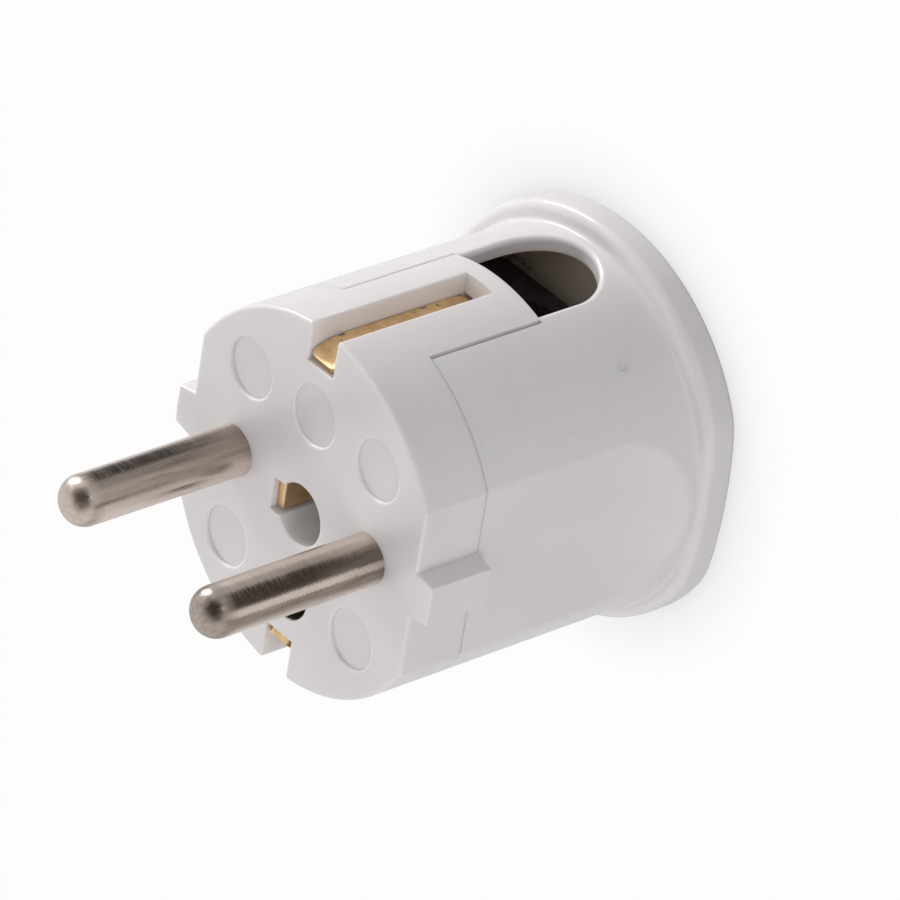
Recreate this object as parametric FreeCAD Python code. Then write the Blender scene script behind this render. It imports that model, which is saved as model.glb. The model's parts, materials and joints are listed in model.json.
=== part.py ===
import FreeCAD, Part
import math
import os
from FreeCAD import Vector

# Side-entry earthed mains plug. Millimetres, Z from the flange's back face to the pin tips,
# X along the pin line, Y towards the cord opening.

# Moulded body: the side flats lie outside the pins, and the round outside the flats
body_depth = 34.3
pin_pitch = 19.0
flat_room = 6.4
flat_drop = 2.2
wall = 1.5
floor_thickness = 2.2
seam_depth = 6.9
seam_gap = 0.05
face_edge_round = 0.3
rim_round = 0.2

# Guide ribs on the two side flats of the front
rib_root_width = 4.7
rib_tip_width = 3.8

# Flange at the back, wider than the body and slightly squared at the sides
flange_overhang = 1.6
flange_shift = 0.33
flange_side_inset = 1.05
flange_side_radius = 48.0
flange_corner_radius = 8.0
flange_thickness = 3.3
flange_front_round = 0.9
flange_back_round = 0.5
crease_round = 0.4

# Curved run-out of each side flat, ending just above the flange
flare_radius = 16.5
flare_room = 0.4
flat_edge_round = 1.2

# Tongues of the front half that lie in cut-outs of the housing wall
tongue_width = 11.8
tongue_depth = 19.6
tongue_gap = 0.06
tongue_bevel = 0.35
keel_width = 6.4
keel_height = 2.6

# Cord opening behind the upper tongue
cord_opening_room = 1.2
cord_opening_width = 10.7
cord_lip_round = 0.45

# Front half: plate, spigot ring and posts
plate_thickness = 4.6
spigot_length = 2.8
spigot_wall = 1.5
spigot_gap = 0.15

# Earth channels and the folded strip in them
channel_width = 3.55
channel_shift = -0.24
channel_room = 0.1
strip_gap = 0.1
strip_thickness = 0.9
strip_inset = 2.2
strip_bend = 0.6
nose_radius = 6.7
nose_angle = 32.0
nose_inset = 0.15
nose_gap = 0.03
nose_corner_round = 0.7
notch_length = 0.7
notch_depth = 0.3
notch_depths = (3.4, 12.7)
eye_wall = 1.8
web_depth = 17.5

# Pins and their terminals
pin_radius = 2.4
pin_length = 19.0
pin_tip_round = 2.1
pin_neck_radius = 2.1
pin_gap = 0.03
post_room = 0.9
post_length = 5.7
collar_step = 0.1
collar_thickness = 1.2
terminal_step = 0.6
terminal_length = 8.6
wire_hole_radius = 1.6

# Screws
thread_radius = 1.5
thread_gap = 0.04
head_radius = 2.65
head_height = 1.9
driver_slot_width = 0.8
driver_slot_depth = 0.9
screw_hole_radius = 1.75

# Housing screw in the centre hole, with its threaded insert
screw_y = -1.2
screw_bore_radius = 2.95
screw_tube_radius = 4.6
screw_floor = 2.2
boss_radius = 4.6
insert_radius = 2.7
insert_length = 8.0
screw_end_room = 3.3

# Lug of the earth strip that shows in the centre hole
lug_reach = 3.7
lug_low = -2.45
lug_high = 0.5
lug_inset = 0.7
lug_room = 0.35

# Socket for an earth pin
earth_y = -9.4
earth_hole_radius = 2.7
sleeve_bore = 2.45
sleeve_wall = 0.6
sleeve_slit = 0.8
sleeve_tube_wall = 1.3
sleeve_tube_length = 9.6

# Earth terminal on the strip
ear_x = -6.8
ear_y = -8.2
ear_radius = 3.2
collar_height = 1.5
collar_wall = 0.8
washer_side = 5.8
washer_thickness = 0.9
earth_screw_length = 3.6

# Cord clamp
clamp_side_room = 6.9
clamp_back_room = 9.35
clamp_post_radius = 3.0
clamp_post_length = 14.2
clamp_saddle_wall = 1.8
clamp_bar_width = 5.8
clamp_bar_thickness = 2.8
clamp_bar_lift = 2.5
clamp_saddle_radius = 7.0
clamp_saddle_depth = 0.9
clamp_screw_length = 17.0

# Round shallow recesses on the face
mark_radius = 2.9
mark_depth = 0.35
mark_spread_x = 9.0
mark_spread_y = 9.05
mark_top_y = 9.35

# Levels and reaches that follow from the sizes above
pin_x = pin_pitch / 2
flat_reach = pin_x + flat_room
body_radius = flat_reach + flat_drop
flange_radius = body_radius + flange_overhang
flange_side_reach = flange_radius - flange_side_inset
flare_end = flange_thickness + crease_round + flare_room
flare_start = flare_end + math.sqrt(flare_radius**2 - (flare_radius - flat_drop) ** 2)
face = body_depth
seam = face - seam_depth
plate_back = face - plate_thickness
tongue_end = face - tongue_depth
web_front = face - web_depth
web_back = web_front - strip_thickness
channel_end = web_front - channel_room
cord_opening_end = flange_thickness + cord_opening_room
post_end = plate_back - post_length
tongue_half = tongue_width / 2
slot_half = tongue_half + tongue_gap
cavity_radius = body_radius - wall
cavity_flat = flat_reach - wall
spigot_radius = cavity_radius - spigot_gap
spigot_flat = cavity_flat - spigot_gap
post_radius = cavity_flat - post_room - pin_x
collar_radius = post_radius - collar_step
terminal_radius = collar_radius - terminal_step
screw_seat = web_front + screw_floor
screw_end = floor_thickness + screw_end_room
strip_reach = body_radius - strip_inset
strip_floor = strip_reach - strip_thickness
strip_half = channel_width / 2 - strip_gap
clamp_x = flat_reach - clamp_side_room
clamp_y = body_radius - clamp_back_room
clamp_bar_low = floor_thickness + clamp_bar_lift
clamp_post_end = plate_back - clamp_post_length
nose_turn = math.radians(nose_angle)
sleeve_radius = sleeve_bore + sleeve_wall
over = 1.0
tolerance = 0.01


def rod(radius, low, high, x=0.0, y=0.0):
    return Part.makeCylinder(radius, high - low, Vector(x, y, low))


def block(x_low, x_high, y_low, y_high, low, high):
    return Part.makeBox(x_high - x_low, y_high - y_low, high - low, Vector(x_low, y_low, low))


def flatted(radius, reach, low, high):
    return rod(radius, low, high).common(block(-reach, reach, -radius, radius, low, high))


def mirror_x(shape):
    return shape.mirror(Vector(0, 0, 0), Vector(1, 0, 0))


def mirror_y(shape):
    return shape.mirror(Vector(0, 0, 0), Vector(0, 1, 0))


def level_edges(shape, level):
    found = []
    for edge in shape.Edges:
        box = edge.BoundBox
        if abs(box.ZMin - level) < tolerance and abs(box.ZMax - level) < tolerance:
            found.append(edge)
    return found


def upright_edges(shape):
    return [edge for edge in shape.Edges if edge.BoundBox.XLength + edge.BoundBox.YLength < tolerance]


def middle(edge):
    return edge.valueAt((edge.FirstParameter + edge.LastParameter) / 2)


def single(shape):
    return shape.removeSplitter().Solids[0]


def around(centre, radius, angle):
    return centre + Vector(0, radius * math.cos(angle), radius * math.sin(angle))


def nose_point(radius, angle):
    # point on the strip's bent end, from the bend's start at angle 0
    level = face - nose_inset - nose_radius * math.sin(nose_turn)
    return around(Vector(0, strip_reach - nose_radius, level), radius, angle)


# Rear housing

def flange():
    plate = rod(flange_radius, 0, flange_thickness, 0, flange_shift)
    side_centre = flange_side_radius - flange_side_reach
    for side in (-1, 1):
        plate = plate.common(rod(flange_side_radius, 0, flange_thickness, side * side_centre, flange_shift))
    plate = plate.makeFillet(flange_corner_radius, upright_edges(plate))
    plate = plate.makeFillet(flange_front_round, level_edges(plate, flange_thickness))
    return plate.makeFillet(flange_back_round, level_edges(plate, 0))


def side_flat_cutter():
    outer = body_radius + over
    centre_x = flat_reach + flare_radius
    end_angle = math.acos((centre_x - outer) / flare_radius)
    half_angle = end_angle / 2
    top = Vector(outer, 0, seam + over)
    inner_top = Vector(flat_reach, 0, seam + over)
    inner_start = Vector(flat_reach, 0, flare_start)
    half_drop = flare_radius * math.sin(half_angle)
    on_arc = Vector(centre_x - flare_radius * math.cos(half_angle), 0, flare_start - half_drop)
    arc_end = Vector(outer, 0, flare_start - flare_radius * math.sin(end_angle))
    edges = [
        Part.makeLine(top, inner_top),
        Part.makeLine(inner_top, inner_start),
        Part.Arc(inner_start, on_arc, arc_end).toShape(),
        Part.makeLine(arc_end, top),
    ]
    profile = Part.Face(Part.Wire(edges))
    cutter = profile.extrude(Vector(0, 2 * body_radius, 0))
    cutter.translate(Vector(0, -body_radius, 0))
    return cutter


def flat_edges(body):
    # where the side flats and their run-outs meet the round
    found = []
    for edge in body.Edges:
        spot = middle(edge)
        on_skin = abs(math.hypot(spot.x, spot.y) - body_radius) < tolerance
        on_flat = all(abs(point.X) > flat_reach - tolerance for point in edge.Vertexes)
        if on_skin and on_flat and edge.BoundBox.ZLength > flat_drop:
            found.append(edge)
    return found


def housing_outside():
    body = rod(body_radius, flange_thickness / 2, seam - seam_gap)
    cutter = side_flat_cutter()
    body = body.cut(cutter).cut(mirror_x(cutter))
    body = body.makeFillet(flat_edge_round, flat_edges(body))
    joined = single(body.fuse(flange()))
    crease = []
    for edge in level_edges(joined, flange_thickness):
        spot = middle(edge)
        if abs(math.hypot(spot.x, spot.y) - body_radius) < tolerance:
            crease.append(edge)
    return joined.makeFillet(crease_round, crease)


def cord_opening():
    half = cord_opening_width / 2
    centre = cord_opening_end + half
    end = Part.makeCylinder(half, body_radius + over, Vector(0, 0, centre), Vector(0, 1, 0))
    return end.fuse(block(-half, half, 0, body_radius + over, centre, tongue_end))


def tongue_cutout():
    # slot for a tongue, with its outer edges bevelled
    low = tongue_end - tongue_gap
    outer = slot_half + tongue_bevel
    skin = math.sqrt(body_radius**2 - outer**2)
    right = [(slot_half, skin - tongue_bevel), (outer, skin), (outer, body_radius + over)]
    left = [(-x, y) for x, y in reversed(right)]
    points = [Vector(x, y, low) for x, y in right + left]
    bevel = Part.Face(Part.makePolygon(points + points[:1])).extrude(Vector(0, 0, seam + over - low))
    return bevel.fuse(block(-slot_half, slot_half, 0, body_radius, low, seam + over))


def round_cord_lip(shell):
    low = flange_thickness + crease_round + tolerance
    high = tongue_end - tongue_gap - tolerance
    lips = []
    for edge in shell.Edges:
        spot = middle(edge)
        on_skin = abs(math.hypot(spot.x, spot.y) - body_radius) < tolerance
        if on_skin and spot.y > 0 and abs(spot.x) < slot_half and low < spot.z < high:
            lips.append(edge)
    return shell.makeFillet(cord_lip_round, lips)


def housing_boss():
    boss = rod(boss_radius, floor_thickness / 2, web_back, 0, screw_y)
    seat = rod(insert_radius + thread_gap, web_back - insert_length, web_back + over, 0, screw_y)
    way = rod(screw_hole_radius, screw_end - over, web_back, 0, screw_y)
    return boss.cut(seat).cut(way)


def rear_housing():
    cavity = flatted(cavity_radius, cavity_flat, floor_thickness, seam + over)
    shell = housing_outside().cut(cavity).cut(cord_opening())
    shell = shell.cut(tongue_cutout()).cut(mirror_y(tongue_cutout()))
    shell = round_cord_lip(single(shell))
    return single(shell.fuse(housing_boss()))


# Front half

def guide_rib():
    root = rib_root_width / 2
    tip = rib_tip_width / 2
    upper = [(0, root), (flat_reach, root), (body_radius, tip)]
    lower = [(x, -y) for x, y in reversed(upper)]
    points = [Vector(x, y, seam) for x, y in upper + lower]
    prism = Part.Face(Part.makePolygon(points + points[:1])).extrude(Vector(0, 0, seam_depth))
    return prism.common(rod(body_radius, seam, face))


def front_disc():
    rib = guide_rib()
    disc = flatted(body_radius, flat_reach, seam, face).fuse(rib).fuse(mirror_x(rib))
    disc = single(disc)
    return disc.makeFillet(face_edge_round, level_edges(disc, face))


def spigot():
    low = seam - spigot_length
    return flatted(spigot_radius, spigot_flat, low, plate_back + over)


def front_hollow():
    low = seam - spigot_length - over
    return flatted(spigot_radius - spigot_wall, spigot_flat - spigot_wall, low, plate_back)


def tongue():
    outer = rod(body_radius, tongue_end, plate_back + over)
    inner = rod(spigot_radius - spigot_wall, tongue_end, plate_back + over)
    half = block(-tongue_half, tongue_half, 0, body_radius, tongue_end, plate_back + over)
    keel_low = strip_floor - keel_height
    keel = block(-keel_width / 2, keel_width / 2, keel_low, strip_floor, web_front, plate_back + over)
    return outer.cut(inner).common(half).fuse(keel)


def earth_channel():
    left = channel_shift - channel_width / 2
    right = channel_shift + channel_width / 2
    channel = block(left, right, strip_floor, body_radius + over, channel_end, face + over)
    nose_floor = nose_point(nose_radius - strip_thickness, nose_turn).y - nose_gap
    nose_start = nose_point(nose_radius, 0).z
    relief = block(left, right, nose_floor, body_radius, nose_start, face + over)
    keel_low = strip_floor - keel_height
    way_high = web_front + strip_bend + strip_gap
    way = block(left, right, keel_low - over, strip_reach + strip_gap, tongue_end - over, way_high)
    return channel.fuse(relief).fuse(way)


def pin_post(x):
    return rod(post_radius, post_end, plate_back + over, x)


def pin_bore(x):
    return rod(pin_neck_radius + pin_gap, post_end - over, face + over, x)


def screw_tube():
    return rod(screw_tube_radius, web_front, plate_back + over, 0, screw_y)


def screw_passage():
    bore = rod(screw_bore_radius, screw_seat, face + over, 0, screw_y)
    hole = rod(screw_hole_radius, web_front - over, face, 0, screw_y)
    far = -lug_reach - strip_gap
    near = -lug_reach + strip_thickness + strip_gap
    low = lug_low - lug_room
    high = lug_high + strip_gap
    lug_way = block(far, near, low, high, web_front - over, face + over)
    window = block(far, 0, low, high, screw_seat, face + over)
    return bore.fuse(hole).fuse(lug_way).fuse(window)


def sleeve_tube():
    radius = sleeve_radius + strip_gap + sleeve_tube_wall
    return rod(radius, plate_back - sleeve_tube_length, plate_back + over, 0, earth_y)


def sleeve_passage():
    seat = rod(sleeve_radius + strip_gap, web_front - over, plate_back, 0, earth_y)
    return seat.fuse(rod(earth_hole_radius, plate_back - over, face + over, 0, earth_y))


def clamp_posts():
    posts = None
    for side in (-1, 1):
        post = rod(clamp_post_radius, clamp_post_end, plate_back + over, side * clamp_x, clamp_y)
        half = clamp_saddle_wall / 2
        ends = sorted((side * keel_width / 2, side * clamp_x))
        saddle = block(ends[0], ends[1], clamp_y - half, clamp_y + half, clamp_post_end, plate_back + over)
        piece = post.fuse(saddle)
        posts = piece if posts is None else posts.fuse(piece)
    return posts


def clamp_pilot(side):
    high = clamp_bar_low + clamp_screw_length + over
    return rod(thread_radius + thread_gap, clamp_post_end - over, high, side * clamp_x, clamp_y)


def face_marks():
    spots = [(sx * mark_spread_x, sy * mark_spread_y) for sx in (-1, 1) for sy in (-1, 1)]
    spots.append((0, mark_top_y))
    return [rod(mark_radius, face - mark_depth, face + over, x, y) for x, y in spots]


def face_rims(solid):
    # edges of the recesses, holes and earth channels on the face, except under the pins
    half = channel_width / 2 + tolerance
    rims = []
    for edge in level_edges(solid, face):
        spot = middle(edge)
        under_pin = math.hypot(abs(spot.x) - pin_x, spot.y) < pin_radius
        hole = isinstance(edge.Curve, Part.Circle) and edge.Curve.Radius < body_radius / 2
        channel = abs(spot.x - channel_shift) < half and abs(spot.y) > strip_floor - keel_height
        if channel or hole and not under_pin:
            rims.append(edge)
    return rims


def contact_carrier():
    solid = front_disc().fuse(spigot()).cut(front_hollow())
    for piece in (tongue(), mirror_y(tongue()), screw_tube(), sleeve_tube(), clamp_posts()):
        solid = solid.fuse(piece)
    for side in (-1, 1):
        solid = solid.fuse(pin_post(side * pin_x))
    cuts = [earth_channel(), mirror_y(earth_channel()), screw_passage(), sleeve_passage()]
    for side in (-1, 1):
        cuts.append(pin_bore(side * pin_x))
        cuts.append(clamp_pilot(side))
    for cut in cuts + face_marks():
        solid = solid.cut(cut)
    solid = single(solid)
    return solid.makeFillet(rim_round, face_rims(solid))


# Metal parts

def contact_pin(x):
    shank = rod(pin_radius, face, face + pin_length, x)
    shank = shank.makeFillet(pin_tip_round, level_edges(shank, face + pin_length))
    neck = rod(pin_neck_radius, post_end, face, x)
    collar = rod(collar_radius, post_end - collar_thickness, post_end, x)
    low = post_end - collar_thickness - terminal_length
    terminal = rod(terminal_radius, low, post_end - collar_thickness, x)
    middle_z = low + terminal_length / 2
    hole_start = Vector(x, -terminal_radius - over, middle_z)
    hole_length = 2 * (terminal_radius + over)
    wire_hole = Part.makeCylinder(wire_hole_radius, hole_length, hole_start, Vector(0, 1, 0))
    thread = rod(thread_radius + thread_gap, low - over, middle_z, x)
    return single(shank.fuse(neck).fuse(collar).fuse(terminal).cut(wire_hole).cut(thread))


def slotted_screw(seat, length, x, y, upward):
    # seat is the level under the head; the shank runs up or down from it
    head_low = seat - head_height if upward else seat
    head = rod(head_radius, head_low, head_low + head_height, x, y)
    shank_low = seat if upward else seat - length
    shank = rod(thread_radius, shank_low, shank_low + length, x, y)
    top = head_low if upward else head_low + head_height
    half = driver_slot_width / 2
    low = top - driver_slot_depth
    high = top + driver_slot_depth
    driver = block(x - head_radius, x + head_radius, y - half, y + half, low, high)
    return single(head.cut(driver).fuse(shank))


def terminal_screw(x):
    seat = post_end - collar_thickness - terminal_length
    return slotted_screw(seat, terminal_length / 2, x, 0, True)


def strip_half_profile():
    outer_bend = strip_bend + strip_thickness
    bend = Vector(0, strip_reach - outer_bend, web_back + outer_bend)
    tight = nose_radius - strip_thickness
    back = -math.pi / 2
    p1 = Vector(0, 0, web_back)
    p2 = around(bend, outer_bend, back)
    p3 = around(bend, outer_bend, 0)
    p4 = nose_point(nose_radius, 0)
    p5 = nose_point(nose_radius, nose_turn)
    p6 = nose_point(tight, nose_turn)
    p7 = nose_point(tight, 0)
    p8 = around(bend, strip_bend, 0)
    p9 = around(bend, strip_bend, back)
    p10 = Vector(0, 0, web_front)
    edges = [
        Part.makeLine(p1, p2),
        Part.Arc(p2, around(bend, outer_bend, back / 2), p3).toShape(),
        Part.makeLine(p3, p4),
        Part.Arc(p4, nose_point(nose_radius, nose_turn / 2), p5).toShape(),
        Part.makeLine(p5, p6),
        Part.Arc(p6, nose_point(tight, nose_turn / 2), p7).toShape(),
        Part.makeLine(p7, p8),
        Part.Arc(p8, around(bend, strip_bend, back / 2), p9).toShape(),
        Part.makeLine(p9, p10),
        Part.makeLine(p10, p1),
    ]
    return Part.Face(Part.Wire(edges))


def strip_arm():
    left = channel_shift - strip_half
    arm = strip_half_profile().extrude(Vector(2 * strip_half, 0, 0))
    arm.translate(Vector(left, 0, 0))
    tip = nose_point(nose_radius - strip_thickness / 2, nose_turn)
    corners = []
    for edge in arm.Edges:
        spot = middle(edge)
        at_side = abs(abs(spot.x - channel_shift) - strip_half) < tolerance
        if at_side and math.hypot(spot.y - tip.y, spot.z - tip.z) < tolerance:
            corners.append(edge)
    arm = arm.makeFillet(nose_corner_round, corners)
    for depth in notch_depths:
        high = face - depth + notch_length / 2
        arm = arm.cut(block(left, left + notch_depth, 0, body_radius, high - notch_length, high))
    return arm


def earth_strip():
    strip = strip_arm().fuse(mirror_y(strip_arm()))
    lug_inner = -lug_reach + strip_thickness
    lug = block(-lug_reach, lug_inner, lug_low, lug_high, web_back, face - lug_inset)
    foot = block(-lug_reach, 0, lug_low, lug_high, web_back, web_front)
    ear = rod(ear_radius, web_back, web_front, ear_x, ear_y)
    arm = block(ear_x, 0, ear_y - ear_radius, ear_y + ear_radius, web_back, web_front)
    bush = rod(thread_radius + thread_gap + collar_wall, web_back, web_front + collar_height, ear_x, ear_y)
    eye = rod(screw_hole_radius + eye_wall, web_back, web_front, 0, screw_y)
    for piece in (lug, foot, ear, arm, bush, eye):
        strip = strip.fuse(piece)
    strip = strip.cut(rod(thread_radius + thread_gap, web_back - over, face, ear_x, ear_y))
    strip = strip.cut(rod(screw_hole_radius, web_back - over, web_front + over, 0, screw_y))
    return single(strip)


def earth_sleeve():
    tube = rod(sleeve_radius, web_front, plate_back, 0, earth_y)
    tube = tube.cut(rod(sleeve_bore, web_front, plate_back, 0, earth_y))
    half = sleeve_slit / 2
    slit = block(-half, half, earth_y - sleeve_radius - over, earth_y, web_front + sleeve_slit, plate_back)
    return single(tube.cut(slit))


def earth_clamp_washer():
    half = washer_side / 2
    low = web_back - washer_thickness
    plate = block(ear_x - half, ear_x + half, ear_y - half, ear_y + half, low, web_back)
    return plate.cut(rod(screw_hole_radius, low, web_back, ear_x, ear_y))


def earth_terminal_screw():
    return slotted_screw(web_back - washer_thickness, earth_screw_length, ear_x, ear_y, True)


def housing_screw():
    return slotted_screw(screw_seat, screw_seat - screw_end, 0, screw_y, False)


def housing_insert():
    low = web_back - insert_length
    bush = rod(insert_radius, low, web_back, 0, screw_y)
    return bush.cut(rod(thread_radius + thread_gap, low, web_back, 0, screw_y))


# Cord clamp

def cord_clamp_bar():
    low = clamp_bar_low
    high = low + clamp_bar_thickness
    half = clamp_bar_width / 2
    bar = block(-clamp_x, clamp_x, clamp_y - half, clamp_y + half, low, high)
    for side in (-1, 1):
        bar = bar.fuse(rod(half, low, high, side * clamp_x, clamp_y))
    saddle_axis = Vector(0, clamp_y - half, high + clamp_saddle_radius - clamp_saddle_depth)
    bar = bar.cut(Part.makeCylinder(clamp_saddle_radius, clamp_bar_width, saddle_axis, Vector(0, 1, 0)))
    for side in (-1, 1):
        bar = bar.cut(rod(screw_hole_radius, low, high, side * clamp_x, clamp_y))
    return single(bar)


def cord_clamp_screws():
    screws = []
    for side in (-1, 1):
        screws.append(slotted_screw(clamp_bar_low, clamp_screw_length, side * clamp_x, clamp_y, True))
    return Part.makeCompound(screws)


nodes = {
    "contact_carrier": contact_carrier(),
    "rear_housing": rear_housing(),
    "live_pin": contact_pin(pin_x),
    "neutral_pin": contact_pin(-pin_x),
    "earth_strip": earth_strip(),
    "earth_sleeve": earth_sleeve(),
    "live_terminal_screw": terminal_screw(pin_x),
    "neutral_terminal_screw": terminal_screw(-pin_x),
    "earth_terminal_screw": earth_terminal_screw(),
    "earth_clamp_washer": earth_clamp_washer(),
    "housing_screw": housing_screw(),
    "housing_insert": housing_insert(),
    "cord_clamp_bar": cord_clamp_bar(),
    "cord_clamp_screws": cord_clamp_screws(),
}

os.makedirs("parts", exist_ok=True)
for name, shape in nodes.items():
    shape.exportStep("parts/" + name + ".step")
    print(name, len(shape.Solids), "solids", round(shape.Volume / 1000, 3), "cm3", "closed", shape.isValid())
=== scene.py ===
import json
import math

import bmesh
import bpy
from mathutils import Matrix, Vector


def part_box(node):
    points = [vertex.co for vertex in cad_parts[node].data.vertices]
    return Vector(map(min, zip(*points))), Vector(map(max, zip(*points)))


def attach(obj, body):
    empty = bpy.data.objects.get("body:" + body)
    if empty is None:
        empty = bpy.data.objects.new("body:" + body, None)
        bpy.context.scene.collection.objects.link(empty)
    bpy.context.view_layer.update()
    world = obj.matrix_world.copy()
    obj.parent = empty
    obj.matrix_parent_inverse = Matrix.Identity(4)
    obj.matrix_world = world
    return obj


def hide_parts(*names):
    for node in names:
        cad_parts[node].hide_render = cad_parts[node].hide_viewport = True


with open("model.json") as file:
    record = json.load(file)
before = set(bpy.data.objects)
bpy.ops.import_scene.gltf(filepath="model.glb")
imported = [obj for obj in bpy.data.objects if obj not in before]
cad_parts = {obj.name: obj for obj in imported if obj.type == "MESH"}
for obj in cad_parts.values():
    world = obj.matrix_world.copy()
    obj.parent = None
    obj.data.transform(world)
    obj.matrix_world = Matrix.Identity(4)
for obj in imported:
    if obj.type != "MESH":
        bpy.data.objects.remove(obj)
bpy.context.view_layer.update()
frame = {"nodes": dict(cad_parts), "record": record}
mm = 0.001
print("frame loaded:", len(frame["nodes"]), "nodes")


# node helpers

midNoise = (0.3, 0.7)  # most noise values lie between these
hiddenSamples = 8


def addNode(tree, kind, inputs=None, **settings):
    node = tree.nodes.new(kind)
    for name, value in settings.items():
        setattr(node, name, value)
    for name, value in (inputs or {}).items():
        if isinstance(value, bpy.types.NodeSocket):
            tree.links.new(value, node.inputs[name])
        else:
            node.inputs[name].default_value = value
    return node


def objectSpace(tree, cellSize):
    # one noise cell is cellSize metres long on each axis
    coords = addNode(tree, "ShaderNodeTexCoord").outputs["Object"]
    sizes = cellSize if isinstance(cellSize, tuple) else (cellSize,) * 3
    inputs = {"Vector": coords, "Scale": tuple(1 / size for size in sizes)}
    return addNode(tree, "ShaderNodeMapping", inputs).outputs["Vector"]


def splitObject(tree):
    coords = addNode(tree, "ShaderNodeTexCoord").outputs["Object"]
    return addNode(tree, "ShaderNodeSeparateXYZ", {"Vector": coords}).outputs


def noise(tree, cellSize, detail=2.0, rough=0.5):
    inputs = {"Vector": objectSpace(tree, cellSize), "Scale": 1.0, "Detail": detail, "Roughness": rough}
    return addNode(tree, "ShaderNodeTexNoise", inputs).outputs["Fac"]


def spread(tree, value, fromLow, fromHigh, toLow=0, toHigh=1):
    inputs = {"Value": value, "From Min": fromLow, "From Max": fromHigh}
    inputs.update({"To Min": toLow, "To Max": toHigh})
    return addNode(tree, "ShaderNodeMapRange", inputs).outputs["Result"]


def calculate(tree, operation, *values):
    return addNode(tree, "ShaderNodeMath", dict(enumerate(values)), operation=operation).outputs[0]


def distance(tree, first, second):
    squares = (calculate(tree, "MULTIPLY", value, value) for value in (first, second))
    return calculate(tree, "SQRT", calculate(tree, "ADD", *squares))


def openness(tree, reach):
    # 1 in the open, less in corners and gaps
    node = addNode(tree, "ShaderNodeAmbientOcclusion", {"Distance": reach}, samples=hiddenSamples)
    return node.outputs["AO"]


def mixColour(tree, factor, first, second):
    node = addNode(tree, "ShaderNodeMix", data_type="RGBA")
    for socket, value in ((node.inputs[0], factor), (node.inputs[6], first), (node.inputs[7], second)):
        if isinstance(value, bpy.types.NodeSocket):
            tree.links.new(value, socket)
        else:
            socket.default_value = (*value, 1) if isinstance(value, tuple) else value
    return node.outputs[2]


def bump(tree, height, depth, below=None):
    inputs = {"Height": height, "Distance": depth, "Strength": 1.0}
    if below is not None:
        inputs["Normal"] = below
    return addNode(tree, "ShaderNodeBump", inputs).outputs["Normal"]


def startMaterial(name, **sockets):
    material = bpy.data.materials.new(name)
    material.use_nodes = True
    shader = material.node_tree.nodes["Principled BSDF"]
    for socketName, value in sockets.items():
        shader.inputs[socketName.replace("_", " ")].default_value = value
    return material, material.node_tree, shader


def plug(tree, shader, **links):
    for socketName, value in links.items():
        tree.links.new(value, shader.inputs[socketName.replace("_", " ")])


# finishes

whitePlastic = {
    "colour": (0.87, 0.847, 0.85),
    "shade": (0.845, 0.821, 0.823),
    "cloudSize": 9 * mm,
    "cloudRange": (0.35, 0.65),
    "speck": (0.50, 0.47, 0.44),
    "speckSize": 0.5 * mm,
    "speckRange": (0.79, 0.84),
    "speckShare": 0.5,
    # painted shade: brown in corners and gaps, where they are less open
    "cornerShade": (0.60, 0.53, 0.48),
    "cornerShadeReach": 0.7 * mm,
    "cornerShadeOpen": (0.25, 0.75),
    "cornerShadeShare": 0.12,
    # painted shade: warm brown in the housing's cavity
    "cavityShade": (0.86, 0.75, 0.65),
    "insideRadius": (16.9 * mm, 16.65 * mm),
    "insideFlat": (14.75 * mm, 14.5 * mm),
    "insideFloor": (1.0 * mm, 1.3 * mm),
    "socketY": -9.4 * mm,
    "socketRadius": (2.85 * mm, 2.72 * mm),
    "socketShade": (0.045, 0.034, 0.024),
    "socketShare": 0.97,
    "glossSize": 6 * mm,
    "rough": (0.20, 0.26),
    "rippleSize": 5 * mm,
    "rippleHeight": 0.010 * mm,
    "scuffSize": (0.9 * mm, 0.9 * mm, 0.05 * mm),
    "scuffHeight": 0.0006 * mm,
    "ior": 1.49,
    "glow": 0.5,
    "glowDepth": 0.6 * mm,
    "glowReach": (1.0, 0.95, 0.92),
}


def plasticMaterial(name, look, hollow):
    material, tree, shader = startMaterial(
        name, IOR=look["ior"], Subsurface_Weight=look["glow"],
        Subsurface_Scale=look["glowDepth"], Subsurface_Radius=look["glowReach"])
    cloud = spread(tree, noise(tree, look["cloudSize"], 3), *look["cloudRange"])
    tone = mixColour(tree, cloud, look["colour"], look["shade"])
    speck = spread(tree, noise(tree, look["speckSize"], 1), *look["speckRange"], 0, look["speckShare"])
    tone = mixColour(tree, speck, tone, look["speck"])
    # painted shade: browner in corners and gaps, by ambient occlusion
    cornerShade = spread(tree, openness(tree, look["cornerShadeReach"]), *look["cornerShadeOpen"], look["cornerShadeShare"], 0)
    tone = mixColour(tree, cornerShade, tone, look["cornerShade"])
    place = splitObject(tree)
    if hollow:
        # painted shade: the cavity is coloured warm brown, within the outer round, the side flats and the
        # floor
        cavityShade = spread(tree, distance(tree, place["X"], place["Y"]), *look["insideRadius"])
        flat = spread(tree, calculate(tree, "ABSOLUTE", place["X"]), *look["insideFlat"])
        above = spread(tree, place["Z"], *look["insideFloor"])
        cavityShade = calculate(tree, "MULTIPLY", calculate(tree, "MULTIPLY", cavityShade, flat), above)
        tone = mixColour(tree, cavityShade, tone, look["cavityShade"])
    else:
        # the wall of the earth socket, painted dark as the deep hole looks
        away = distance(tree, place["X"], calculate(tree, "SUBTRACT", place["Y"], look["socketY"]))
        socket = spread(tree, away, *look["socketRadius"], 0, look["socketShare"])
        tone = mixColour(tree, socket, tone, look["socketShade"])
    gloss = spread(tree, noise(tree, look["glossSize"], 2), *midNoise, *look["rough"])
    ripple = bump(tree, noise(tree, look["rippleSize"], 1), look["rippleHeight"])
    scuff = bump(tree, noise(tree, look["scuffSize"], 2), look["scuffHeight"], below=ripple)
    plug(tree, shader, Base_Color=tone, Roughness=gloss, Normal=scuff)
    return material


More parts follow.
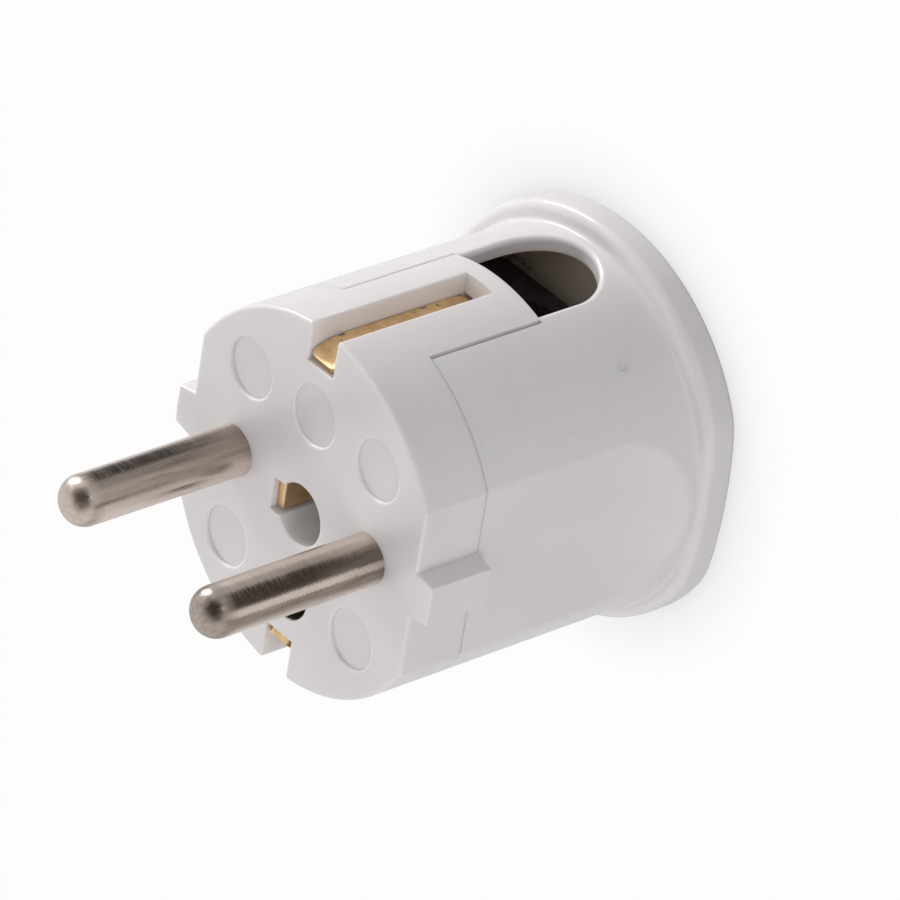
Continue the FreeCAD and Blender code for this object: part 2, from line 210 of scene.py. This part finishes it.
nickelPlate = {  # its dark and bright bands are painted where the photograph's reflections lie
    "colour": (0.245, 0.200, 0.168),
    "bright": (0.77, 0.667, 0.600),
    "dark": (0.026, 0.019, 0.016),
    "pinX": 9.5 * mm,
    "turnApart": 18,          # degrees that the bands of each pin are turned
    "darkSide": 70,
    "darkWidth": (27, 9),     # degrees where the dark band fades in and is full
    "fadeApart": 22,          # degrees from the dark band to its half dark edge
    "fadeWidth": (22, 6),
    "fadeShare": 0.5,
    "darkFrom": (34.5 * mm, 42 * mm),
    "darkShare": (0.22, 0.96),
    "darkHair": (0.45, 0.7),  # hairline noise where the dark band starts to thin
    "darkThin": (1, 0.55),
    "brightSides": (118, -30),
    "brightWidth": (44, 8),
    "highlightSide": 40,
    "highlightWidth": (11, 4),
    "highlightShare": 0.9,       # painted highlight, on the live pin only
    "neutralPaintedLight": 0.30,      # painted light: how much nearer to bright the neutral pin is painted
    "smearSize": (0.42 * mm, 0.42 * mm, 5 * mm),
    "smearShare": 0.30,
    "hairSize": (1.6 * mm, 1.6 * mm, 0.045 * mm),
    "hairHeight": 0.0022 * mm,
    "hairShift": 0.06,
    "ringSize": (4 * mm, 4 * mm, 0.30 * mm),
    "ringHeight": 0.005 * mm,
    "tipFrom": (50.4 * mm, 51.8 * mm),
    "tipLift": 0.10,
    "tipRough": 0.04,
    "rough": (0.20, 0.34),
}


def nearAngle(tree, angle, centre, width):
    # 1 around the centre angle, falling to 0 at the outer width, all in degrees
    turned = calculate(tree, "COSINE", calculate(tree, "SUBTRACT", angle, math.radians(centre)))
    outer, inner = (math.cos(math.radians(part)) for part in width)
    inputs = {"Value": turned, "From Min": outer, "From Max": inner}
    return addNode(tree, "ShaderNodeMapRange", inputs, interpolation_type="SMOOTHSTEP").outputs["Result"]


def nickelMaterial(name, look):
    material, tree, shader = startMaterial(name, Metallic=1.0)
    place = splitObject(tree)
    side = calculate(tree, "SIGN", place["X"])
    fromAxis = calculate(tree, "SUBTRACT", place["X"], calculate(tree, "MULTIPLY", side, look["pinX"]))
    hair = noise(tree, look["hairSize"], 3, 0.6)
    smear = noise(tree, look["smearSize"], 3, 0.6)
    shaft = spread(tree, place["Z"], *look["tipFrom"], 1, 0)

    def turnedBy(start, degrees):
        return calculate(tree, "ADD", start, calculate(tree, "MULTIPLY", side, math.radians(degrees)))

    def onShaft(mask, *shares):
        for share in (shaft, *shares):
            mask = calculate(tree, "MULTIPLY", mask, share)
        return mask

    def lighten(tone, mask):
        # towards the bright colour, for the painted reflections and highlight
        return mixColour(tree, mask, tone, look["bright"])

    wobble = spread(tree, hair, *midNoise, -look["hairShift"], look["hairShift"])
    angle = calculate(tree, "ADD", calculate(tree, "ARCTAN2", place["Y"], fromAxis), wobble)
    angle = turnedBy(angle, look["turnApart"])

    base = spread(tree, smear, *midNoise, 0, look["smearShare"])
    # painted light: the neutral pin, at negative X, is made lighter
    base = calculate(tree, "ADD", base, spread(tree, side, -1, 1, look["neutralPaintedLight"], 0))
    base = calculate(tree, "ADD", base, spread(tree, shaft, 0, 1, look["tipLift"], 0))
    tone = mixColour(tree, base, look["colour"], look["bright"])
    # painted reflections: bright bands at fixed sides of each pin
    for centre in look["brightSides"]:
        tone = lighten(tone, onShaft(nearAngle(tree, angle, centre, look["brightWidth"])))
    # painted highlight: a narrow bright line on the live pin
    highlight = nearAngle(tree, angle, look["highlightSide"], look["highlightWidth"])
    tone = lighten(tone, onShaft(highlight, spread(tree, side, -1, 1, 0, look["highlightShare"])))

    # painted reflection: a dark band at a fixed side of each pin, with a half dark edge, stronger towards
    # the tip
    dark = nearAngle(tree, angle, look["darkSide"], look["darkWidth"])
    faded = nearAngle(tree, turnedBy(angle, -look["fadeApart"]), look["darkSide"], look["fadeWidth"])
    dark = calculate(tree, "MAXIMUM", dark, calculate(tree, "MULTIPLY", faded, look["fadeShare"]))
    along = spread(tree, place["Z"], *look["darkFrom"], *look["darkShare"])
    thinned = spread(tree, hair, *look["darkHair"], *look["darkThin"])
    tone = mixColour(tree, onShaft(dark, along, thinned), tone, look["dark"])

    gloss = spread(tree, smear, *midNoise, *look["rough"])
    gloss = calculate(tree, "ADD", gloss, spread(tree, shaft, 0, 1, look["tipRough"], 0))
    rings = bump(tree, noise(tree, look["ringSize"], 2), look["ringHeight"])
    haired = bump(tree, hair, look["hairHeight"], below=rings)
    plug(tree, shader, Base_Color=tone, Roughness=gloss, Normal=haired)
    return material


bareBrass = {
    "colour": (0.88, 0.64, 0.355),
    "tarnish": (0.68, 0.475, 0.255),
    "tarnishSize": 1.6 * mm,
    "tarnishRange": (0.42, 0.72),
    "pit": (0.13, 0.08, 0.04),
    "pitSize": 0.34 * mm,
    "pitRange": (0.70, 0.78),
    "pitHeight": 0.012 * mm,
    "drawSize": (0.12 * mm, 0.12 * mm, 2.5 * mm),
    "drawHeight": 0.004 * mm,
    "rough": (0.30, 0.48),
}


def brassMaterial(name, look):
    material, tree, shader = startMaterial(name, Metallic=1.0)
    tarnish = spread(tree, noise(tree, look["tarnishSize"], 5, 0.6), *look["tarnishRange"])
    tone = mixColour(tree, tarnish, look["colour"], look["tarnish"])
    pit = spread(tree, noise(tree, look["pitSize"], 1), *look["pitRange"])
    tone = mixColour(tree, pit, tone, look["pit"])
    gloss = spread(tree, noise(tree, look["tarnishSize"], 4), *midNoise, *look["rough"])
    drawn = bump(tree, noise(tree, look["drawSize"], 2), look["drawHeight"])
    pitted = bump(tree, spread(tree, pit, 0, 1, 1, 0), look["pitHeight"], below=drawn)
    plug(tree, shader, Base_Color=tone, Roughness=gloss, Normal=pitted)
    return material


zincSteel = {
    "colour": (0.58, 0.58, 0.57),
    "dull": (0.38, 0.37, 0.35),
    "dullSize": 0.9 * mm,
    "dullRange": (0.4, 0.7),
    "grainSize": 0.12 * mm,
    "grainHeight": 0.004 * mm,
    "rough": (0.26, 0.46),
}


def zincMaterial(name, look):
    material, tree, shader = startMaterial(name, Metallic=1.0)
    dull = spread(tree, noise(tree, look["dullSize"], 4, 0.6), *look["dullRange"])
    tone = mixColour(tree, dull, look["colour"], look["dull"])
    gloss = spread(tree, noise(tree, look["dullSize"], 3), *midNoise, *look["rough"])
    grain = bump(tree, noise(tree, look["grainSize"], 2), look["grainHeight"])
    plug(tree, shader, Base_Color=tone, Roughness=gloss, Normal=grain)
    return material


darkClamp = {
    "colour": (0.020, 0.018, 0.017),
    "scuff": (0.075, 0.068, 0.062),
    "scuffSize": 1.4 * mm,
    "scuffRange": (0.5, 0.75),
    "grainSize": 0.2 * mm,
    "grainHeight": 0.006 * mm,
    "rough": (0.35, 0.55),
}


def clampMaterial(name, look):
    material, tree, shader = startMaterial(name)
    scuff = spread(tree, noise(tree, look["scuffSize"], 5, 0.65), *look["scuffRange"])
    tone = mixColour(tree, scuff, look["colour"], look["scuff"])
    gloss = spread(tree, noise(tree, look["scuffSize"], 3), *midNoise, *look["rough"])
    grain = bump(tree, noise(tree, look["grainSize"], 2), look["grainHeight"])
    plug(tree, shader, Base_Color=tone, Roughness=gloss, Normal=grain)
    return material


finishes = {
    "carrier_white": plasticMaterial("carrierWhite", whitePlastic, False),
    "housing_white": plasticMaterial("housingWhite", whitePlastic, True),
    "pin_plating": nickelMaterial("nickelPlate", nickelPlate),
    "strip_brass": brassMaterial("stripBrass", bareBrass),
    "sleeve_brass": brassMaterial("sleeveBrass", bareBrass),
    "screw_steel": zincMaterial("zincSteel", zincSteel),
    "clamp_dark": clampMaterial("darkClamp", darkClamp),
}
slotOf = {part["node"]: part["material_slot"] for part in frame["record"]["subparts"]}
for nodeName, node in frame["nodes"].items():
    node.data.materials.clear()
    node.data.materials.append(finishes[slotOf[nodeName]])
print("finishes set:", len(finishes))


# slotted screws, each in the place of its solid

screwLook = {  # millimetres, scaled where the screws are placed
    "headHeight": 1.9,
    "headCrown": 0.35,
    "slotWidth": 0.8,
    "slotDepth": 0.9,
    "shankRadius": 1.5,
    "threadDepth": 0.3,
    "pitch": 0.5,
}
screwMesh = {
    "headSides": 64,
    "headRings": 10,
    "crownPower": 4.0,
    "shankSides": 48,
    "threadSteps": 40,
    "threadSides": 4,
    "ridgeShare": 0.75,  # of the thread's depth
    "endRoom": 1.1,      # ridge radii between the thread and the shank's ends
    "softAngle": 0.6,
}
screwPlaces = {
    # headUp, the slot's turn in degrees, screws in the row
    "live_terminal_screw": (False, 35, 1),
    "neutral_terminal_screw": (False, -20, 1),
    "earth_terminal_screw": (False, 60, 1),
    "housing_screw": (True, 25, 1),
    "cord_clamp_screws": (False, 75, 2),
}


def makeScrewTree(fine):
    tree = bpy.data.node_groups.new("slottedScrew", "GeometryNodeTree")
    kinds = dict.fromkeys(("headRadius", "length", *screwLook), "Float")
    kinds.update(count="Int", start="Vector", step="Vector", turn="Vector", finish="Material")
    names = {}
    for name, kind in kinds.items():
        socket = tree.interface.new_socket(name, in_out="INPUT", socket_type="NodeSocket" + kind)
        names[name] = socket.identifier
    tree.interface.new_socket("Geometry", in_out="OUTPUT", socket_type="NodeSocketGeometry")
    given = tree.nodes.new("NodeGroupInput").outputs

    def made(kind, inputs=None, **settings):
        return addNode(tree, kind, inputs, **settings).outputs[0]

    def times(first, second):
        return calculate(tree, "MULTIPLY", first, second)

    def minus(first, second):
        return calculate(tree, "SUBTRACT", first, second)

    def over(first, second):
        return calculate(tree, "DIVIDE", first, second)

    def vector(x=0.0, y=0.0, z=0.0):
        return made("ShaderNodeCombineXYZ", {"X": x, "Y": y, "Z": z})

    def lifted(geometry, height):
        return made("GeometryNodeTransform", {"Geometry": geometry, "Translation": vector(z=height)})

    # head above zero, its top crowned by lowering the outer rings
    disc = {"Vertices": fine["headSides"], "Fill Segments": fine["headRings"]}
    disc.update({"Radius": given["headRadius"], "Depth": given["headHeight"]})
    head = made("GeometryNodeMeshCylinder", disc, fill_type="TRIANGLE_FAN")
    position = made("GeometryNodeInputPosition")
    where = addNode(tree, "ShaderNodeSeparateXYZ", {"Vector": position}).outputs
    outward = over(distance(tree, where["X"], where["Y"]), given["headRadius"])
    drop = times(calculate(tree, "POWER", outward, fine["crownPower"]), times(given["headCrown"], -1.0))
    drop = times(drop, calculate(tree, "GREATER_THAN", where["Z"], 0.0))
    head = made("GeometryNodeSetPosition", {"Geometry": head, "Offset": vector(z=drop)})
    head = lifted(head, over(given["headHeight"], 2.0))
    slotSize = vector(times(given["headRadius"], 3.0), given["slotWidth"], times(given["slotDepth"], 2.0))
    slotBox = lifted(made("GeometryNodeMeshCube", {"Size": slotSize}), given["headHeight"])
    head = made("GeometryNodeMeshBoolean", {"Mesh 1": head, "Mesh 2": slotBox}, operation="DIFFERENCE")

    # threaded shank below zero
    core = minus(given["shankRadius"], given["threadDepth"])
    rod = {"Vertices": fine["shankSides"], "Radius": core, "Depth": given["length"]}
    shank = lifted(made("GeometryNodeMeshCylinder", rod), over(given["length"], -2.0))
    ridge = times(given["threadDepth"], fine["ridgeShare"])
    run = minus(given["length"], times(ridge, 2 * fine["endRoom"]))
    crest = minus(given["shankRadius"], ridge)
    coil = {"Resolution": fine["threadSteps"], "Rotations": over(run, given["pitch"])}
    coil.update({"Start Radius": crest, "End Radius": crest, "Height": run})
    helix = made("GeometryNodeCurveSpiral", coil)
    helix = lifted(helix, minus(times(ridge, fine["endRoom"]), given["length"]))
    profile = made("GeometryNodeCurvePrimitiveCircle", {"Resolution": fine["threadSides"], "Radius": ridge})
    swept = {"Curve": helix, "Profile Curve": profile, "Fill Caps": True}
    thread = made("GeometryNodeCurveToMesh", swept)

    joined = addNode(tree, "GeometryNodeJoinGeometry")
    for part in (head, shank, thread):
        tree.links.new(part, joined.inputs[0])
    bend = made("GeometryNodeInputMeshEdgeAngle")
    softened = {0: bend, 1: fine["softAngle"]}
    soft = made("FunctionNodeCompare", softened, data_type="FLOAT", operation="LESS_THAN")
    shading = {0: joined.outputs[0], "Shade Smooth": soft}
    screw = made("GeometryNodeSetShadeSmooth", shading, domain="EDGE")

    line = {"Count": given["count"], "Start Location": given["start"], "Offset": given["step"]}
    placing = {"Points": made("GeometryNodeMeshLine", line), "Instance": screw}
    placing.update({"Rotation": given["turn"], "Scale": (mm, mm, mm)})
    solid = made("GeometryNodeRealizeInstances", {"Geometry": made("GeometryNodeInstanceOnPoints", placing)})
    dressed = made("GeometryNodeSetMaterial", {"Geometry": solid, "Material": given["finish"]})
    tree.links.new(dressed, tree.nodes.new("NodeGroupOutput").inputs[0])
    return tree, names


def makeScrews(look, fine, places):
    tree, names = makeScrewTree(fine)
    for nodeName, (headUp, turn, count) in places.items():
        low, high = (Vector(corner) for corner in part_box(nodeName))
        headRadius = (high.y - low.y) / 2
        headHeight = look["headHeight"] * mm
        seat = high.z - headHeight if headUp else low.z + headHeight
        length = high.z - low.z - headHeight
        values = {**look, "headRadius": headRadius / mm, "length": length / mm, "count": count}
        values["start"] = (low.x + headRadius, (low.y + high.y) / 2, seat)
        values["step"] = (high.x - low.x - 2 * headRadius, 0, 0)
        values["turn"] = (0 if headUp else math.pi, 0, math.radians(turn))
        values["finish"] = finishes["screw_steel"]
        piece = bpy.data.objects.new(nodeName + "_threaded", bpy.data.meshes.new(nodeName))
        bpy.context.scene.collection.objects.link(piece)
        nodes = piece.modifiers.new("screws", "NODES")
        nodes.node_group = tree
        for name, value in values.items():
            nodes[names[name]] = value
        evaluated = piece.evaluated_get(bpy.context.evaluated_depsgraph_get())
        mesh = bpy.data.meshes.new_from_object(evaluated)
        piece.modifiers.remove(nodes)
        piece.data = mesh
        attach(piece, "root")
        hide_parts(nodeName)
        print("screws:", nodeName, len(mesh.polygons), "faces")


makeScrews(screwLook, screwMesh, screwPlaces)


# mark of the moulding gate on the housing

gateLook = {
    "place": (11.77, 13.80, 9.3),  # millimetres, on the outer wall
    "ring": 0.46 * mm,
    "thick": 0.13 * mm,
    "endShare": 0.35,              # thickness left at the ends of the open ring
    "rise": 0.7,                   # height as a share of the thickness
    "sweep": 300,
    "steps": 40,
    "sides": 10,
}


def makeGateMark(look):
    centre = Vector(look["place"]) * mm
    upward = Vector((0, 0, 1))
    outward = Vector((centre.x, centre.y, 0)).normalized()
    across = upward.cross(outward)
    shape = bmesh.new()
    rows = []
    for step in range(look["steps"] + 1):
        part = step / look["steps"]
        turn = math.radians(look["sweep"] * part)
        way = across * math.cos(turn) + upward * math.sin(turn)
        fullness = math.sin(math.pi * part) ** 0.5
        thick = look["thick"] * (look["endShare"] + (1 - look["endShare"]) * fullness)
        row = []
        for side in range(look["sides"]):
            angle = 2 * math.pi * side / look["sides"]
            offset = way * (look["ring"] + thick * math.cos(angle))
            offset += outward * (thick * math.sin(angle) * look["rise"])
            row.append(shape.verts.new(centre + offset))
        rows.append(row)
    for before, after in zip(rows, rows[1:]):
        for side in range(look["sides"]):
            beyond = (side + 1) % look["sides"]
            shape.faces.new((before[side], after[side], after[beyond], before[beyond]))
    shape.faces.new(rows[0])
    shape.faces.new(rows[-1])
    bmesh.ops.recalc_face_normals(shape, faces=shape.faces)
    for face in shape.faces:
        face.smooth = True
    mesh = bpy.data.meshes.new("gateMark")
    shape.to_mesh(mesh)
    shape.free()
    mesh.materials.append(finishes["housing_white"])
    piece = bpy.data.objects.new("gateMark", mesh)
    bpy.context.scene.collection.objects.link(piece)
    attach(piece, "root")


makeGateMark(gateLook)
print("gate mark made")


# floor and light

floorLook = {
    "side": 4.0,
    "drop": 0.02 * mm,
    "colour": (0.45, 0.45, 0.45, 1),
    "cameraWhite": 0.97,
    "glossWhite": 0.6,
    "shadow": (0.80, 0.80, 0.80),  # painted close to the object, as cast shadows hardly show on the white
    "shadowReach": 7 * mm,
    "shadowOpen": (0.45, 1),
}


def blendWhite(tree, plain, white, cameraShare, otherShare):
    # camera rays, and rays seen in metal, get a share of plain white
    path = addNode(tree, "ShaderNodeLightPath").outputs
    mirrored = calculate(tree, "MAXIMUM", path["Is Glossy Ray"], path["Is Transmission Ray"])
    seen = calculate(tree, "MULTIPLY", path["Is Camera Ray"], cameraShare)
    share = calculate(tree, "ADD", seen, calculate(tree, "MULTIPLY", mirrored, otherShare))
    inputs = {0: share, 1: plain.outputs[0], 2: white.outputs[0]}
    return addNode(tree, "ShaderNodeMixShader", inputs).outputs[0]


def makeFloor(look):
    half = look["side"] / 2
    corners = ((-half, -half), (half, -half), (half, half), (-half, half))
    mesh = bpy.data.meshes.new("studioFloor")
    mesh.from_pydata([(x, y, -look["drop"]) for x, y in corners], [], [(0, 1, 2, 3)])
    floor = bpy.data.objects.new("studioFloor", mesh)
    bpy.context.scene.collection.objects.link(floor)
    material = bpy.data.materials.new("studioFloor")
    material.use_nodes = True
    tree = material.node_tree
    tree.nodes.clear()
    lit = addNode(tree, "ShaderNodeBsdfDiffuse", {"Color": look["colour"]})
    clear = spread(tree, openness(tree, look["shadowReach"]), *look["shadowOpen"])
    shown = mixColour(tree, clear, look["shadow"], (1, 1, 1))
    white = addNode(tree, "ShaderNodeEmission", {"Color": shown, "Strength": 1.0})
    surface = blendWhite(tree, lit, white, look["cameraWhite"], look["glossWhite"])
    addNode(tree, "ShaderNodeOutputMaterial", {"Surface": surface})
    mesh.materials.append(material)


worldLook = {
    "colour": (1.0, 0.99, 0.98, 1),
    "level": 0.52,
    "darkWay": (0.40, 0.57, 0.71),  # towards the dark end of the room
    "dark": (0.09, 0.085, 0.08),
    "darkFrom": (0.42, 0.90),       # cosines where the dark end starts and is full
}


def makeWorld(look):
    world = bpy.data.worlds.new("studioWorld")
    bpy.context.scene.world = world
    world.use_nodes = True
    tree = world.node_tree
    tree.nodes.clear()
    soft = addNode(tree, "ShaderNodeBackground", {"Color": look["colour"], "Strength": look["level"]})
    ways = {0: addNode(tree, "ShaderNodeTexCoord").outputs["Generated"], 1: look["darkWay"]}
    near = addNode(tree, "ShaderNodeVectorMath", ways, operation="DOT_PRODUCT").outputs["Value"]
    shown = mixColour(tree, spread(tree, near, *look["darkFrom"]), (1, 1, 1), look["dark"])
    white = addNode(tree, "ShaderNodeBackground", {"Color": shown, "Strength": 1.0})
    addNode(tree, "ShaderNodeOutputWorld", {"Surface": blendWhite(tree, soft, white, 1.0, 1.0)})


lampTarget = Vector((0, 0, 25)) * mm
lampColour = (1.0, 0.99, 0.985)
lamps = {
    # turn and rise in degrees, away and size in metres; mirrored lamps show in reflections
    "keyLamp": dict(turn=146, rise=5, away=0.8, size=(0.34, 0.12), watts=4.1, mirrored=True),
    "fillLamp": dict(turn=345, rise=15, away=0.6, size=(0.28, 0.28), watts=0.74, mirrored=False),
    "faceLamp": dict(turn=225, rise=45, away=0.6, size=(0.34, 0.34), watts=0.44, mirrored=False),
    "wallLamp": dict(turn=0, rise=65, away=0.6, size=(0.34, 0.34), watts=0.14, mirrored=False),
    "glintLamp": dict(turn=43, rise=6, away=0.6, size=(0.06, 0.06), watts=0.06, mirrored=True),
}


def aim(obj, direction, upward):
    # local -Z looks along direction, local Y is as near upward as it can be
    back = -Vector(direction).normalized()
    side = Vector(upward).cross(back).normalized()
    turned = Matrix((side, back.cross(side), back)).transposed().to_4x4()
    obj.matrix_world = Matrix.Translation(obj.location) @ turned


def makeLamp(name, look):
    light = bpy.data.lights.new(name, "AREA")
    light.shape = "RECTANGLE"
    light.size, light.size_y = look["size"]
    light.energy = look["watts"]
    light.color = lampColour
    lamp = bpy.data.objects.new(name, light)
    lamp.visible_glossy = look["mirrored"]
    bpy.context.scene.collection.objects.link(lamp)
    turn, rise = math.radians(look["turn"]), math.radians(look["rise"])
    level = math.cos(rise)
    towards = Vector((math.cos(turn) * level, math.sin(turn) * level, math.sin(rise)))
    lamp.location = lampTarget + towards * look["away"]
    aim(lamp, -towards, (0, 0, 1))


makeFloor(floorLook)
makeWorld(worldLook)
for lampName, lampLook in lamps.items():
    makeLamp(lampName, lampLook)
print("studio set:", len(lamps), "lamps")


# camera as the photograph was taken

cameraLook = {
    "place": Vector((408.91, 375.76, 419.53)) * mm,
    "forward": (-0.59641158, -0.54755919, -0.58691751),
    "upward": (-0.5015903, 0.82509216, -0.26005788),
    "lens": 306.3,
    "sensor": 36.0,
    "reach": (0.01, 20),  # metres between the clipping ends
}


def makeCamera(look):
    view = bpy.data.cameras.new("photoCamera")
    view.lens = look["lens"]
    view.sensor_width = look["sensor"]
    view.clip_start, view.clip_end = look["reach"]
    camera = bpy.data.objects.new("photoCamera", view)
    bpy.context.scene.collection.objects.link(camera)
    camera.location = look["place"]
    aim(camera, look["forward"], look["upward"])
    bpy.context.scene.camera = camera


makeCamera(cameraLook)
bpy.context.scene.view_settings.view_transform = "Standard"
print("camera set")
